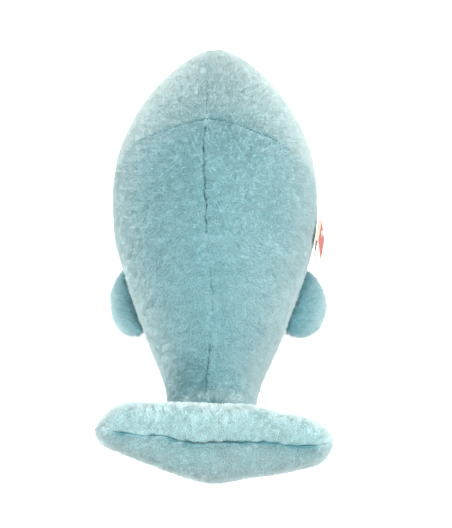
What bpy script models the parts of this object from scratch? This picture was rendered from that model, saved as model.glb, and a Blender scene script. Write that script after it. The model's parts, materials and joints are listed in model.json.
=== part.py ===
# A plush whale, lying on its belly with its tail curled up, made as it is sewn:
# cloth panels whose edges are turned in at every seam, and the stuffing that they hold.
# Metres. +Z is up, the nose points to -Y, and the origin is the middle of the resting patch.
import math

import bmesh
import bpy
import numpy as np

# Body: the stuffed form from the nose to the tail's hinge
body_width = 0.162
body_height = 0.142
body_run = 0.395  # from the nose to the tail's hinge, along Y
nose_ahead = 0.191  # from the origin to the nose
ridge_power_nose = 1.8  # how square a section is above its middle, at the nose
ridge_power = 2.1  # the same from the widest section back
belly_power = 2.5  # below its middle

# Cloth and seams
cloth = 0.0020  # thickness of the cloth with its pile pressed flat
edge_roll = 0.0030  # radius with which a panel rolls into a seam
allowance = 0.0075  # how deep the turned-in edge reaches below the skin
seam_gap = 0.0003  # between two turned-in edges
clearance = 0.0003  # between the cloth and what it holds
full_seam_width = 0.014  # half width of the body from which the seams have their full size
nose_stitch = 0.0016  # half width of the body at the first stitches of the nose
filling_start = 0.015  # half width of the body from which it holds filling

# Tail fluke: a stuffed pillow on the hinge line
fluke_span = 0.167
fluke_chord = 0.077
fluke_thickness = 0.0596
fluke_sweep = 0.033  # how far the tips lie behind the middle
fluke_tip_share = 0.76  # thickness of the tips as a share of the middle's
fluke_angle = 61.0  # degrees above the floor to which the fluke points
hinge_clearance = 0.0004  # between the tail's hollow end and the fluke's round front

# Flippers: stuffed paddles sewn into the belly seam
flipper_chord = 0.062
flipper_reach = 0.028  # outwards from the seam
flipper_sweep = 0.012  # how far the tip lies behind the root
flipper_thickness = 0.017
flipper_root_thickness = 0.009
flipper_droop = 52.0  # degrees below level
flipper_stand_off = 0.0006  # from the skin to the flipper's root

# Safety eyes
eye_diameter = 0.012
eye_height = 0.0038
eye_shank_diameter = 0.0034
eye_shank_length = 0.010
washer_diameter = 0.014
washer_thickness = 0.0012
washer_set_in = 0.0010  # from the cloth's inner face to the washer, room for the skin's curve

# Hang tag: a folded card on a plastic fastener
tag_width = 0.022
tag_height = 0.029
tag_corner = 0.003
card_thickness = 0.0005
tag_fold = 0.0012  # space between the leaves at the fold, on top
tag_opening = 0.0050  # and at the bottom
tag_hole_diameter = 0.0034
tag_hole_inset = 0.0050  # from the fold to the middle of the hole
tag_stand_off = 0.0026  # from the skin to the inner leaf, at the hole
filament_diameter = 0.0009
fastener_bar = 0.009  # length of the bar inside the skin
fastener_bar_depth = 0.0060  # from the skin to the bar, which lies in the filling
fastener_paddle = 0.006  # height of the stop outside the card
fastener_paddle_thickness = 0.0012

# Spine in the middle plane: share of body_run behind the nose, share of body_height above the floor
spine_shares = (
    (0.000, 0.350), (0.100, 0.415), (0.236, 0.468), (0.373, 0.488), (0.509, 0.478),
    (0.645, 0.436), (0.770, 0.388), (0.868, 0.384), (0.950, 0.468), (1.000, 0.621),
)
bend_share = 0.06  # share of the spine, to each side, over which the sections' directions are averaged
widest_share = 0.41  # where the body is widest
nose_end_share = 0.10  # the nose's first stitches lie before this
# Sections: share along the spine, half width as a share of half body_width,
# rise above and drop below the spine as shares of body_height
section_shares = (
    (0.00, 0.000, 0.000, 0.000), (0.02, 0.170, 0.106, 0.140), (0.05, 0.315, 0.170, 0.212),
    (nose_end_share, 0.507, 0.250, 0.293), (0.17, 0.708, 0.338, 0.366), (0.25, 0.872, 0.419, 0.440),
    (0.33, 0.977, 0.475, 0.490), (widest_share, 1.000, 0.507, 0.504), (0.50, 0.957, 0.487, 0.497),
    (0.60, 0.814, 0.443, 0.456), (0.70, 0.640, 0.387, 0.400), (0.80, 0.452, 0.325, 0.322),
)
# The same for the tail stock, whose rise and drop are shares of the fluke_thickness that it ends on
tail_section_shares = ((0.90, 0.395, 0.624, 0.608), (1.00, 0.385, 0.488, 0.477))
# Belly seam: share along the spine, angle from the ridge as a share of half a turn
belly_seam_shares = ((0.0, 0.56), (0.1, 0.60), (0.3, 0.64), (0.6, 0.64), (0.85, 0.60), (1.0, 0.58))
# Cross seam: share of the way from the ridge to the belly seam, share along the spine
cross_seam_shares = ((0.0, 0.338), (0.1, 0.345), (0.25, 0.357), (0.45, 0.368), (0.7, 0.368), (1.0, 0.355))
flipper_root_share = 0.558  # where the middle of each flipper's root lies along the spine
eye_along_share, eye_around_share = 0.185, 0.545
tag_along_share, tag_around_share = 0.489, 0.480

# Counts
spine_steps = 400
halvings = 30  # steps in which a place on the surface is found
nose_rows, back_rows = 9, 12
side_columns, belly_columns = 6, 7
roll_steps = 3  # points round each rolled edge
corner_steps = 6
fluke_columns, flipper_columns = 36, 20
smooth_angle = 40.0  # degrees between faces up to which they are shaded smooth
dome_steps, lathe_sides, rod_sides, hollow_sides = 6, 24, 12, 48
pillow_share_marks = (0.40, 0.68, 0.87, 0.96)

# Powers of the curves
nose_row_power = 1.5  # how much closer the rows are towards the nose
fluke_fullness, flipper_fullness = 4.0, 3.0  # how late a pillow's height falls towards its seam
fluke_sweep_power = 2.2
fluke_taper_power = 2.0  # how soon the fluke thins beside its middle
flipper_squareness = 2.5
flipper_full_share = 0.55  # share of its reach at which a flipper has its full thickness
full_edge_rolls = 3.5  # half thickness, in edge rolls, from which a pillow's seam has its full size

half_turn = math.pi
hinge_axis_x = np.array((1.0, 0.0, 0.0))


# Colours, roughness and metallic value of each material
material_values = {
    "plush": ((0.26, 0.49, 0.52), 0.95, 0.0),
    "belly_plush": ((0.72, 0.80, 0.78), 0.95, 0.0),
    "polyester_fill": ((0.86, 0.86, 0.84), 0.95, 0.0),
    "eye_plastic": ((0.01, 0.01, 0.012), 0.12, 0.0),
    "washer_plastic": ((0.80, 0.80, 0.78), 0.45, 0.0),
    "tag_card": ((0.66, 0.10, 0.09), 0.45, 0.0),
    "clear_plastic": ((0.85, 0.87, 0.88), 0.20, 0.0),
}


def material(name):
    found = bpy.data.materials.get(name)
    if found is None:
        colour, roughness, metallic = material_values[name]
        found = bpy.data.materials.new(name)
        found.use_nodes = True
        shader = found.node_tree.nodes["Principled BSDF"]
        shader.inputs["Base Color"].default_value = (*colour, 1.0)
        shader.inputs["Roughness"].default_value = roughness
        shader.inputs["Metallic"].default_value = metallic
        found.diffuse_color = (*colour, 1.0)
    return found


# Curves and frames


def smooth_curve(knots, values, at):
    """A curve through the values at the knots, with slopes taken from the neighbouring knots."""
    knots, values = np.asarray(knots, float), np.asarray(values, float)
    slopes = np.gradient(values, knots)
    at = np.clip(at, knots[0], knots[-1])
    left = np.clip(np.searchsorted(knots, at, side="right") - 1, 0, len(knots) - 2)
    span = knots[left + 1] - knots[left]
    t = (at - knots[left]) / span
    start = (1 + 2 * t) * (1 - t) ** 2 * values[left] + t * (1 - t) ** 2 * span * slopes[left]
    end = t**2 * (3 - 2 * t) * values[left + 1] - t**2 * (1 - t) * span * slopes[left + 1]
    return start + end


def from_table(table, column, at):
    return smooth_curve([row[0] for row in table], [row[column] for row in table], at)


def unit(vectors):
    return vectors / np.linalg.norm(vectors, axis=-1, keepdims=True)


def spine_table():
    """Shares of the spine's length, with the place (Y, Z) and the unit tangent at each."""
    run = np.linspace(0, 1, spine_steps)
    place = np.stack(
        (body_run * run - nose_ahead, body_height * from_table(spine_shares, 1, run)), axis=-1
    )
    steps = np.linalg.norm(np.diff(place, axis=0), axis=1)
    length = np.concatenate(([0], np.cumsum(steps)))
    return length / length[-1], place, smoothed(unit(np.gradient(place, axis=0))), length[-1]


def smoothed(directions):
    """Each direction averaged with those around it, so that the sections fan out gently in a bend."""
    reach = round(bend_share * len(directions))
    before, after = directions[:1].repeat(reach, axis=0), directions[-1:].repeat(reach, axis=0)
    padded = np.concatenate((before, directions, after))
    weight = np.ones(2 * reach + 1)
    return unit(np.stack([np.convolve(padded[:, k], weight, mode="valid") for k in (0, 1)], axis=-1))


spine_marks, spine_places, spine_tangents, spine_length = spine_table()


def along_spine(rows, along):
    return np.stack([np.interp(along, spine_marks, rows[:, k]) for k in (0, 1)], axis=-1)


# The body's surface: along is a share of the spine, around an angle from the ridge


def section_table():
    """Rows of share along the spine, half width, rise and drop, the last three as lengths."""
    scaled = []
    for shares, height in ((section_shares, body_height), (tail_section_shares, fluke_thickness)):
        for share, wide, rise, drop in shares:
            scaled.append((share, wide * body_width / 2, rise * height, drop * height))
    return scaled


section_rows = section_table()


def section(column, along):
    """A column of section_rows. It grows with the root of along, which rounds the nose."""
    knots = np.sqrt([row[0] for row in section_rows])
    return smooth_curve(knots, [row[column] for row in section_rows], np.sqrt(along))


def half_width(along):
    return section(1, along)


def body_surface(along, around):
    """Each section is a rounded square whose power differs above and below the spine."""
    along, around = np.broadcast_arrays(np.clip(along, 0, 1), around)
    side, up = np.sin(around), np.cos(around)
    above = ridge_power_nose + (ridge_power - ridge_power_nose) * np.clip(along / widest_share, 0, 1)
    power = 2 / np.where(up > 0, above, belly_power)
    height = np.where(up > 0, section(2, along), section(3, along))
    across = half_width(along) * np.sign(side) * np.abs(side) ** power
    rise = height * np.sign(up) * np.abs(up) ** power
    place, tangent = along_spine(spine_places, along), along_spine(spine_tangents, along)
    return np.stack(
        (across, place[..., 0] - rise * tangent[..., 1], place[..., 1] + rise * tangent[..., 0]), axis=-1
    )


def body_normal(along, around):
    """The outward direction, from the surface a small step to each side."""
    step = 1e-3
    low = np.clip(np.asarray(along, float) - step, step, 1 - 2 * step)
    lengthwise = body_surface(low + 2 * step, around) - body_surface(low, around)
    middle = low + step
    crosswise = body_surface(middle, around + step) - body_surface(middle, around - step)
    return unit(np.cross(crosswise, lengthwise))


def skin_point(along, around, depth, along_seam, around_seam):
    """The surface sunk by depth along its normal at the seam. The resting patch is flat."""
    point = body_surface(along, around)
    point = point - np.asarray(depth)[..., None] * body_normal(along_seam, around_seam)
    point[..., 2] = np.maximum(point[..., 2], depth)
    return point


def belly_seam(along):
    return half_turn * from_table(belly_seam_shares, 1, along)


def turn_by_distance(along, around, distance):
    """The angle whose surface point lies this far from the one at around, found by halving."""
    start = body_surface(along, around)
    low, high = np.zeros_like(distance), np.full_like(distance, half_turn / 2)
    direction = np.sign(distance)
    for _ in range(halvings):
        middle = (low + high) / 2
        far = np.linalg.norm(body_surface(along, around + direction * middle) - start, axis=-1)
        short = far < np.abs(distance)
        low, high = np.where(short, middle, low), np.where(short, high, middle)
    return around + direction * (low + high) / 2


def seam_size(along):
    """Seams shrink with the body near the nose, as cloth is trimmed towards a point."""
    return np.clip(half_width(along) / full_seam_width, 0, 1)


# A panel's edge: rows from the foot of its turned-in allowance, over the roll, to the face


def edge_rows(offset):
    """Rows of a panel's edge for the surface this far below the face: distance from the seam, depth,
    and how much of a clearance each of the two gains there."""
    turn = np.linspace(0, half_turn / 2, roll_steps)
    radius = edge_roll - offset
    distance = np.concatenate(([offset], edge_roll - radius * np.cos(turn)))
    depth = np.concatenate(([allowance], edge_roll - radius * np.sin(turn)))
    aside, down = (np.concatenate(([1], wave)) for wave in (np.cos(turn), np.sin(turn)))
    return distance, depth, aside, down


def row_places(part, cross, edge):
    """Shares along the spine of a panel's rows. The cross seam is at share cross, its edge rows beyond it."""
    start, room = nose_share(nose_stitch), edge[-1]
    share = np.linspace(0, 1, nose_rows + 1)[:-1, None] ** nose_row_power
    head = np.concatenate((start + (cross - room - start) * share, cross - edge[::-1, None]))
    share = np.linspace(0, 1, back_rows + 1)[1:, None]
    back = np.concatenate((cross + edge[:, None], cross + room + (1 - cross - room) * share))
    return {"head": head, "back": back, "belly": np.concatenate((head, back))}[part]


def panel_layer(part, offset, extra, floor=0.0):
    """Points of one surface of a body panel, this far below its face. Extra is the clearance of the
    filling, whose slots take in the panel's turned-in edges. Nothing lies shallower than the floor."""
    distance, depth, aside, down = edge_rows(offset)
    count = len(distance)
    columns = belly_columns if part == "belly" else side_columns
    inner = np.linspace(0, 1, columns + 2)[1:-1]
    across = np.concatenate((np.zeros(count), inner, np.ones(count)))
    cross = from_table(cross_seam_shares, 1, np.ones_like(across) if part == "belly" else across)
    along = row_places(part, cross, (seam_gap / 2 + distance + extra * aside) / spine_length)
    size = seam_size(along)
    row_depth = {
        "head": np.concatenate((np.full(nose_rows, offset), depth[::-1])),
        "back": np.concatenate((depth, np.full(back_rows, offset))),
        "belly": np.full(len(along), offset),
    }[part][:, None]
    row_down = {
        "head": np.concatenate((np.ones(nose_rows), down[::-1])),
        "back": np.concatenate((down, np.ones(back_rows))),
        "belly": np.ones(len(along)),
    }[part][:, None]
    at_seam = np.where(row_depth > offset, cross, along)
    low = belly_seam(along) if part == "belly" else np.zeros_like(along)
    high = 2 * half_turn - belly_seam(along) if part == "belly" else belly_seam(along)
    near, far = slice(None, count), slice(-count, None)
    gap = seam_gap / 2 + extra * aside
    from_low = turn_by_distance(along[:, near], low[:, near], gap + size[:, near] * distance)
    gap, distance = gap[::-1], distance[::-1]
    from_high = turn_by_distance(along[:, far], high[:, far], -gap - size[:, far] * distance)
    between = from_low[:, -1:] + (from_high[:, :1] - from_low[:, -1:]) * inner
    around = np.concatenate((from_low, between, from_high), axis=1)
    turn_at_seam = np.concatenate((low[:, near], between, high[:, far]), axis=1)
    column_depth = np.concatenate((depth, np.full(columns, offset), depth[::-1]))
    column_down = np.concatenate((down, np.ones(columns), down[::-1]))
    sunk = np.maximum(size * row_depth + extra * row_down, size * column_depth + extra * column_down)
    sunk = np.maximum(sunk, size * floor + extra * (floor > 0))
    return skin_point(along, around, sunk, at_seam, turn_at_seam)


# Meshes


def add_object(name, points, faces, material_name, origin=(0.0, 0.0, 0.0)):
    mesh = bpy.data.meshes.new(name)
    mesh.from_pydata((points - origin).tolist(), [], [tuple(int(k) for k in face) for face in faces])
    mesh.validate()
    thing = bpy.data.objects.new(name, mesh)
    thing.location = origin
    bpy.context.scene.collection.objects.link(thing)
    tidy_mesh(mesh)
    mesh.materials.append(material(material_name))
    mesh.shade_smooth()
    mesh.set_sharp_from_angle(angle=math.radians(smooth_angle))
    return thing


def tidy_mesh(mesh):
    """Joins points that coincide, drops what collapsed, and turns every face outwards."""
    work = bmesh.new()
    work.from_mesh(mesh)
    bmesh.ops.remove_doubles(work, verts=work.verts, dist=1e-6)
    bmesh.ops.dissolve_degenerate(work, edges=work.edges, dist=1e-7)
    bmesh.ops.recalc_face_normals(work, faces=work.faces)
    work.to_mesh(mesh)
    work.free()


def grid_faces(rows, columns, start=0, closed=False, flip=False, turned_rows=0, turned_columns=0):
    """The triangles of a grid of points; closed joins the last column to the first. The last
    turned rows or columns are cut along their other diagonal, as where they are a mirror image."""
    row = np.arange(rows - 1)[:, None]
    column = np.arange(columns if closed else columns - 1)[None, :]
    row, column = np.broadcast_arrays(row, column)
    after = (column + 1) % columns
    other = (row >= rows - 1 - turned_rows) | (column >= columns - turned_columns)
    a, b = row * columns + column, row * columns + after
    c, d = (row + 1) * columns + after, (row + 1) * columns + column
    first = np.where(other[..., None], np.stack((a, b, d), -1), np.stack((a, b, c), -1))
    second = np.where(other[..., None], np.stack((b, c, d), -1), np.stack((a, c, d), -1))
    faces = np.concatenate((first.reshape(-1, 3), second.reshape(-1, 3))) + start
    return faces[:, ::-1] if flip else faces


def border_of(rows, columns):
    """The grid's outer points in order round it."""
    index = np.arange(rows * columns).reshape(rows, columns)
    return np.concatenate((index[0, :-1], index[:-1, -1], index[-1, :0:-1], index[:0:-1, 0]))


def sheet_mesh(outer, inner):
    """A closed sheet from its two faces, joined round their borders."""
    rows, columns = outer.shape[:2]
    count = rows * columns
    border = border_of(rows, columns)
    following = np.roll(border, -1)
    rim = np.stack((border, border + count, following + count, following), axis=-1)
    faces = [*grid_faces(rows, columns), *grid_faces(rows, columns, count, flip=True), *rim]
    return np.concatenate((outer.reshape(-1, 3), inner.reshape(-1, 3))), faces


def body_panel(name, part, side, material_name):
    """One panel of the body's skin. Side is 1 on the whale's left, which is +X, and -1 on its right."""
    mirror = np.array((side, 1.0, 1.0))
    points, faces = sheet_mesh(panel_layer(part, 0.0, 0.0) * mirror, panel_layer(part, cloth, 0.0) * mirror)
    return add_object(name, points, faces, material_name)


def nose_share(width):
    """The share along the spine where the body first has this half width."""
    along = np.linspace(0, nose_end_share, spine_steps)
    return float(np.interp(width, half_width(along), along))


def stuffing_rings(floor):
    """Rings round the whole body, from the first that is wide enough: left side, belly, right side."""
    widths = panel_layer("head", 0.0, 0.0)[..., 0].max(axis=1)
    first = int(np.argmax(widths > filling_start))
    side = np.concatenate([panel_layer(part, cloth, clearance, floor) for part in ("head", "back")])
    belly = panel_layer("belly", cloth, clearance, floor)
    mirror = np.array((-1.0, 1.0, 1.0))
    return np.concatenate((side, belly, side[:, ::-1] * mirror), axis=1)[first:], side.shape[1]


def body_stuffing():
    """The filling: the skin's inner face with slots for every turned-in edge, closed at both ends.
    Its front end is a ring below the slots, so that they run out through it."""
    rings, side_count = stuffing_rings(0.0)
    front = stuffing_rings(allowance)[0][:1]
    rings = np.concatenate((front, rings))
    rows, columns = rings.shape[:2]
    points = np.concatenate((rings.reshape(-1, 3), [rings[0].mean(axis=0)], [rings[-1].mean(axis=0)]))
    faces = [*grid_faces(rows, columns, closed=True, turned_columns=side_count), *end_fans(rows, columns)]
    return add_object("body_stuffing", points, faces, "polyester_fill")


def end_fans(rows, columns):
    """Triangles from the two points after the grid's own to its first and its last row."""
    ring = np.arange(columns)
    following = (ring + 1) % columns
    first, last = np.full(columns, rows * columns), np.full(columns, rows * columns + 1)
    base = (rows - 1) * columns
    near = np.stack((first, following, ring), axis=-1)
    far = np.stack((last, base + ring, base + following), axis=-1)
    return [*near, *far]


# Pillows: the fluke and the flippers are two panels sewn round an outline, with filling between


def power_curve(value, power):
    return np.sign(value) * np.abs(value) ** power


def fluke_outline(turn):
    """(across, along the chord) from the hinge line, at these angles round the outline."""
    share = np.cos(turn)
    spread = np.abs(share) ** fluke_sweep_power
    side = np.sign(np.sin(turn))
    middle = fluke_middle() + fluke_sweep * spread
    behind = middle + side * fluke_chord / 2 * np.sqrt(1 - spread**2)
    return np.stack((fluke_span / 2 * share, behind), axis=-1)


def fluke_middle():
    """The middle of the chord, behind the hinge line, which is the centre of the fluke's round front."""
    return fluke_chord / 2 - fluke_thickness / 2


def fluke_half_thickness(plan):
    """Full in the middle and thinner towards the tips."""
    share = np.clip(np.abs(plan[..., 0]) / (fluke_span / 2), 0, 1)
    thinned = 1 - (1 - share) ** fluke_taper_power
    return fluke_thickness / 2 * (1 - (1 - fluke_tip_share) * thinned)


def flipper_outline(turn):
    """(back along the root, out from the root) round a rounded paddle that is swept back."""
    power = 2 / flipper_squareness
    back = flipper_chord / 2 * power_curve(np.cos(turn), power)
    out = flipper_reach / 2 * (1 + power_curve(np.sin(turn), power))
    return np.stack((back + flipper_sweep * out / flipper_reach, out), axis=-1)


def flipper_half_thickness(plan):
    """Thin at the root, where it is sewn in, and full from the middle out."""
    share = np.clip(plan[..., 1] / (flipper_full_share * flipper_reach), 0, 1)
    ease = share**2 * (3 - 2 * share)
    return (flipper_root_thickness + (flipper_thickness - flipper_root_thickness) * ease) / 2


class Pillow:
    """A stuffed form round an outline: its height falls to the seam as the root of 1 - share**power."""

    def __init__(self, outline, half_thickness, columns, power, frame):
        turn = np.linspace(0, 2 * half_turn, columns, endpoint=False) + half_turn / columns
        self.rim = outline(turn)
        self.middle = self.rim.mean(axis=0)
        ahead, behind = np.roll(self.rim, -1, axis=0), np.roll(self.rim, 1, axis=0)
        tangent = unit(ahead - behind)
        self.outwards = np.stack((tangent[:, 1], -tangent[:, 0]), axis=-1)
        self.half_thickness, self.power, self.frame = half_thickness, power, frame
        self.size = np.clip(half_thickness(self.rim) / (full_edge_rolls * edge_roll), 0, 1)

    def face(self, share, offset, extra):
        """(plan, height) of the face at this share of the way out, sunk by the offset."""
        rim = self.rim - self.outwards * (self.size[:, None] * offset + extra)
        plan = self.middle + share * (rim - self.middle)
        full = self.half_thickness(plan) - self.size * offset - extra
        low = seam_gap / 2 + self.size * edge_roll
        return plan, low + (full - low) * np.sqrt(1 - share**self.power)

    def edge(self, offset, extra):
        """(plan, height) of each row of the edge, from the face to the allowance's foot."""
        for distance, depth, aside, down in reversed(list(zip(*edge_rows(offset)))):
            plan = self.rim - self.outwards * (self.size[:, None] * depth + extra * down)
            yield plan, seam_gap / 2 + extra * aside + self.size * distance

    def layer(self, offset, extra):
        rows = [self.face(share, offset, extra) for share in pillow_share_marks]
        rows += list(self.edge(offset, extra))
        return np.array([np.concatenate((plan, height[:, None]), axis=1) for plan, height in rows])

    def top(self, offset, extra):
        plan, height = self.face(0.0, offset, extra)
        return np.array((*plan[0], height[0]))

    def place(self, points, side):
        """From the pillow's own plan and height to the object's frame."""
        origin, first, second, up = self.frame
        return origin + points[..., :1] * first + points[..., 1:2] * second + side * points[..., 2:] * up

    def panel(self, name, side):
        """One panel: its face out to the rim, its turned-in edge, and back along its inner face."""
        outer, inner = self.layer(0.0, 0.0), self.layer(cloth, 0.0)
        loop = np.concatenate((outer, inner[::-1]))
        return self.lathe(name, loop, self.top(0.0, 0.0), self.top(cloth, 0.0), side, "plush")

    def stuffing(self, name):
        """The filling, with a slot all round for the two turned-in edges."""
        upper = self.layer(cloth, clearance)
        lower = upper[::-1] * np.array((1.0, 1.0, -1.0))
        start = self.top(cloth, clearance)
        end = start * np.array((1.0, 1.0, -1.0))
        return self.lathe(name, np.concatenate((upper, lower)), start, end, 1, "polyester_fill")

    def lathe(self, name, loop, start, end, side, material_name):
        """Rows round the outline, out and back, closed by a point at each end."""
        rows, columns = loop.shape[:2]
        points = np.concatenate((loop.reshape(-1, 3), [start], [end]))
        faces = [*grid_faces(rows, columns, closed=True, turned_rows=rows // 2), *end_fans(rows, columns)]
        return add_object(name, self.place(points, side), faces, material_name, self.frame[0])


# Lathe work, bars and cutters


def turned(name, profile, origin, axis, material_name, sides=lathe_sides):
    """A profile of (radius, place along the axis), spun round it. Its ends lie on the axis or make a bore."""
    axis = unit(np.asarray(axis, float))
    helper = np.array((0.0, 0.0, 1.0)) if abs(axis[2]) < 0.9 else np.array((1.0, 0.0, 0.0))
    first = unit(np.cross(helper, axis))
    second = np.cross(axis, first)
    angle = np.linspace(0, 2 * half_turn, sides, endpoint=False)[None, :, None]
    radius, place = np.array(profile, float).T[..., None, None]
    ring = origin + place * axis + radius * (np.cos(angle) * first + np.sin(angle) * second)
    rows = len(profile)
    return add_object(name, ring.reshape(-1, 3), grid_faces(rows, sides, closed=True), material_name)


def helper(thing):
    """A shape that only cuts or joins isn't a piece of the whale."""
    thing.hide_render = True
    thing.display_type = "WIRE"
    return thing


def cylinder_cutter(name, origin, axis, radius, low, high, sides=lathe_sides):
    """A solid rod between two places on the axis, which only cuts."""
    profile = [(0, low), (radius, low), (radius, high), (0, high)]
    return helper(turned(name, profile, origin, axis, "plush", sides))


def cut(thing, cutter, operation="DIFFERENCE"):
    modifier = thing.modifiers.new(cutter.name, "BOOLEAN")
    modifier.operation = operation
    modifier.object = cutter
    modifier.solver = "EXACT"


# Sub-parts


def make_fluke(hinge):
    chord = np.array((0.0, math.cos(math.radians(fluke_angle)), math.sin(math.radians(fluke_angle))))
    up = np.cross(hinge_axis_x, chord)
    frame = (hinge, hinge_axis_x, chord, up)
    fluke = Pillow(fluke_outline, fluke_half_thickness, fluke_columns, fluke_fullness, frame)
    fluke.panel("fluke_top_panel", 1)
    fluke.panel("fluke_bottom_panel", -1)
    fluke.stuffing("fluke_stuffing")
    return fluke


def hinge_reach(fluke):
    """How far the fluke's front reaches from the hinge line, over the tail's width."""
    points = np.concatenate((fluke.layer(0.0, 0.0).reshape(-1, 3), [fluke.top(0.0, 0.0)]))
    front = (points[:, 1] < 0) & (np.abs(points[:, 0]) < half_width(1.0))
    return float(np.hypot(points[front, 1], points[front, 2]).max())


def make_flipper(side, word):
    """A flipper hangs from the belly seam, its root in line with the seam."""
    half = flipper_chord / 2 / spine_length
    shares = np.array((flipper_root_share - half, flipper_root_share + half))
    ends = body_surface(shares, belly_seam(shares))
    back = unit(ends[1] - ends[0])
    normal = body_normal(flipper_root_share, belly_seam(flipper_root_share))
    middle = body_surface(flipper_root_share, belly_seam(flipper_root_share))
    origin = middle + normal * flipper_stand_off
    droop = math.radians(flipper_droop)
    out = np.array((math.cos(droop), 0.0, -math.sin(droop)))
    out = unit(out - back * np.dot(out, back))
    mirror = np.array((side, 1.0, 1.0))
    up = unit(np.cross(out, back)) * mirror
    up = up if up[2] > 0 else -up
    frame = (origin * mirror, back * mirror, out * mirror, up)
    flipper = Pillow(flipper_outline, flipper_half_thickness, flipper_columns, flipper_fullness, frame)
    flipper.panel(f"flipper_{word}_top_panel", 1)
    flipper.panel(f"flipper_{word}_bottom_panel", -1)
    flipper.stuffing(f"flipper_{word}_stuffing")


def make_eye(side, word, head, stuffing):
    """A domed eye on a shank that runs through the skin, locked by a washer behind the cloth."""
    around = eye_around_share * half_turn
    mirror = np.array((side, 1.0, 1.0))
    place = body_surface(eye_along_share, around) * mirror
    axis = body_normal(eye_along_share, around) * mirror
    radius, shank = eye_diameter / 2, eye_shank_diameter / 2
    turn = np.linspace(half_turn / 2, 0, dome_steps)
    dome = [(radius * math.cos(t), clearance + eye_height * math.sin(t)) for t in turn]
    dome[0] = (0.0, clearance + eye_height)
    profile = [*dome, (shank, clearance), (shank, -eye_shank_length), (0.0, -eye_shank_length)]
    turned(f"eye_{word}", profile, place, axis, "eye_plastic")
    face = -(cloth + washer_set_in)
    back = face - washer_thickness
    bore = shank + clearance
    rim = washer_diameter / 2
    ring = [(bore, face), (rim, face), (rim, back), (bore, back), (bore, face)]
    turned(f"eye_washer_{word}", ring, place, axis, "washer_plastic")
    hole = cylinder_cutter(f"eye_hole_{word}", place, axis, bore, -eye_shank_length, eye_height)
    cut(head, hole)
    pocket_radius = washer_diameter / 2 + clearance
    pocket = cylinder_cutter(
        f"eye_pocket_{word}", place, axis, pocket_radius, -eye_shank_length - clearance, eye_height
    )
    cut(stuffing, pocket)


def tag_place():
    """The point of the skin that the tag hangs by, and the level direction out of it, on the right side."""
    around = -tag_around_share * half_turn
    place = body_surface(tag_along_share, around)
    normal = body_normal(tag_along_share, around)
    return place, unit(np.array((normal[0], normal[1], 0.0)))


def make_tag(back_panel, stuffing):
    place, out = tag_place()
    up = np.array((0.0, 0.0, 1.0))
    axes = (place, out, np.cross(up, out), up)
    make_tag_card(axes)
    make_fastener(axes, back_panel, stuffing)


def slab(name, axes, outline, low, high, along_ahead):
    """An outline of (out, up) drawn along the card's width, or of (ahead, up) drawn outwards."""
    place, out, ahead, up = axes
    first, travel = (out, ahead) if along_ahead else (ahead, out)
    points = [place + first * a + up * z + travel * b for b in (low, high) for a, z in outline]
    count = len(outline)
    faces = [tuple(range(count)), tuple(range(2 * count - 1, count - 1, -1))]
    faces += [(k, (k + 1) % count, count + (k + 1) % count, count + k) for k in range(count)]
    return add_object(name, np.array(points), faces, "tag_card", place)


def make_tag_card(axes):
    """Two leaves of one card, folded on top. The hole through both is on the hinge axis."""
    near, far = tag_stand_off, tag_stand_off + card_thickness
    top, bottom, half = tag_hole_inset, tag_hole_inset - tag_height, tag_width / 2
    spread, opened = tag_fold + card_thickness, tag_opening + card_thickness
    outline = [
        (near, bottom), (near, top), (far + spread, top), (far + opened, bottom),
        (near + opened, bottom), (near + spread, top - card_thickness),
        (far, top - card_thickness), (far, bottom),
    ]
    card = slab("tag_card", axes, outline, -half, half, True)
    steps = np.linspace(0, half_turn / 2, corner_steps)
    inset = tag_corner * (1 - np.sin(steps))
    rise = tag_corner * (1 - np.cos(steps))
    rounded = [(half - a, bottom + z) for a, z in zip(inset, rise)]
    rounded += [(a, z) for a, z in ((half, top + card_thickness), (-half, top + card_thickness))]
    rounded += [(a - half, bottom + z) for a, z in zip(inset[::-1], rise[::-1])]
    corners = slab("tag_corners", axes, rounded, near - card_thickness, far + opened + card_thickness, False)
    cut(card, helper(corners), "INTERSECT")
    place, out = axes[:2]
    hole = cylinder_cutter("tag_hole", place, out, tag_hole_diameter / 2, 0, far + opened + card_thickness)
    cut(card, hole)


def make_fastener(axes, back_panel, stuffing):
    """A plastic filament through the skin and the card, with a bar inside and a paddle outside."""
    place, out, _, up = axes
    radius, half_bar, half_paddle = filament_diameter / 2, fastener_bar / 2, fastener_paddle / 2
    opening = (tag_opening - tag_fold) * tag_hole_inset / tag_height
    stop = tag_stand_off + 2 * card_thickness + tag_fold + opening + 2 * clearance
    thick = fastener_paddle_thickness / 2
    inside, outside = place - out * fastener_bar_depth, place + out * (stop + thick)
    rod = rod_shape("tag_fastener", place, out, radius, -fastener_bar_depth, stop + thick)
    cut(rod, helper(rod_shape("fastener_bar_shape", inside, up, radius, -half_bar, half_bar)), "UNION")
    paddle = rod_shape("fastener_paddle_shape", outside, up, thick, -half_paddle, half_paddle)
    cut(rod, helper(paddle), "UNION")
    bore = cylinder_cutter("fastener_bore", place, out, radius + clearance, -fastener_bar_depth, stop)
    slot_radius, reach = 2 * radius + clearance, half_bar + clearance
    slot = cylinder_cutter("fastener_slot", inside, up, slot_radius, -reach, reach)
    way = cylinder_cutter("fastener_way", place, out, slot_radius, -fastener_bar_depth, stop)
    cut(back_panel, bore)
    cut(stuffing, slot)
    cut(stuffing, way)


def rod_shape(name, origin, axis, radius, low, high):
    profile = [(0, low), (radius, low), (radius, high), (0, high)]
    return turned(name, profile, origin, axis, "clear_plastic", rod_sides)


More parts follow.
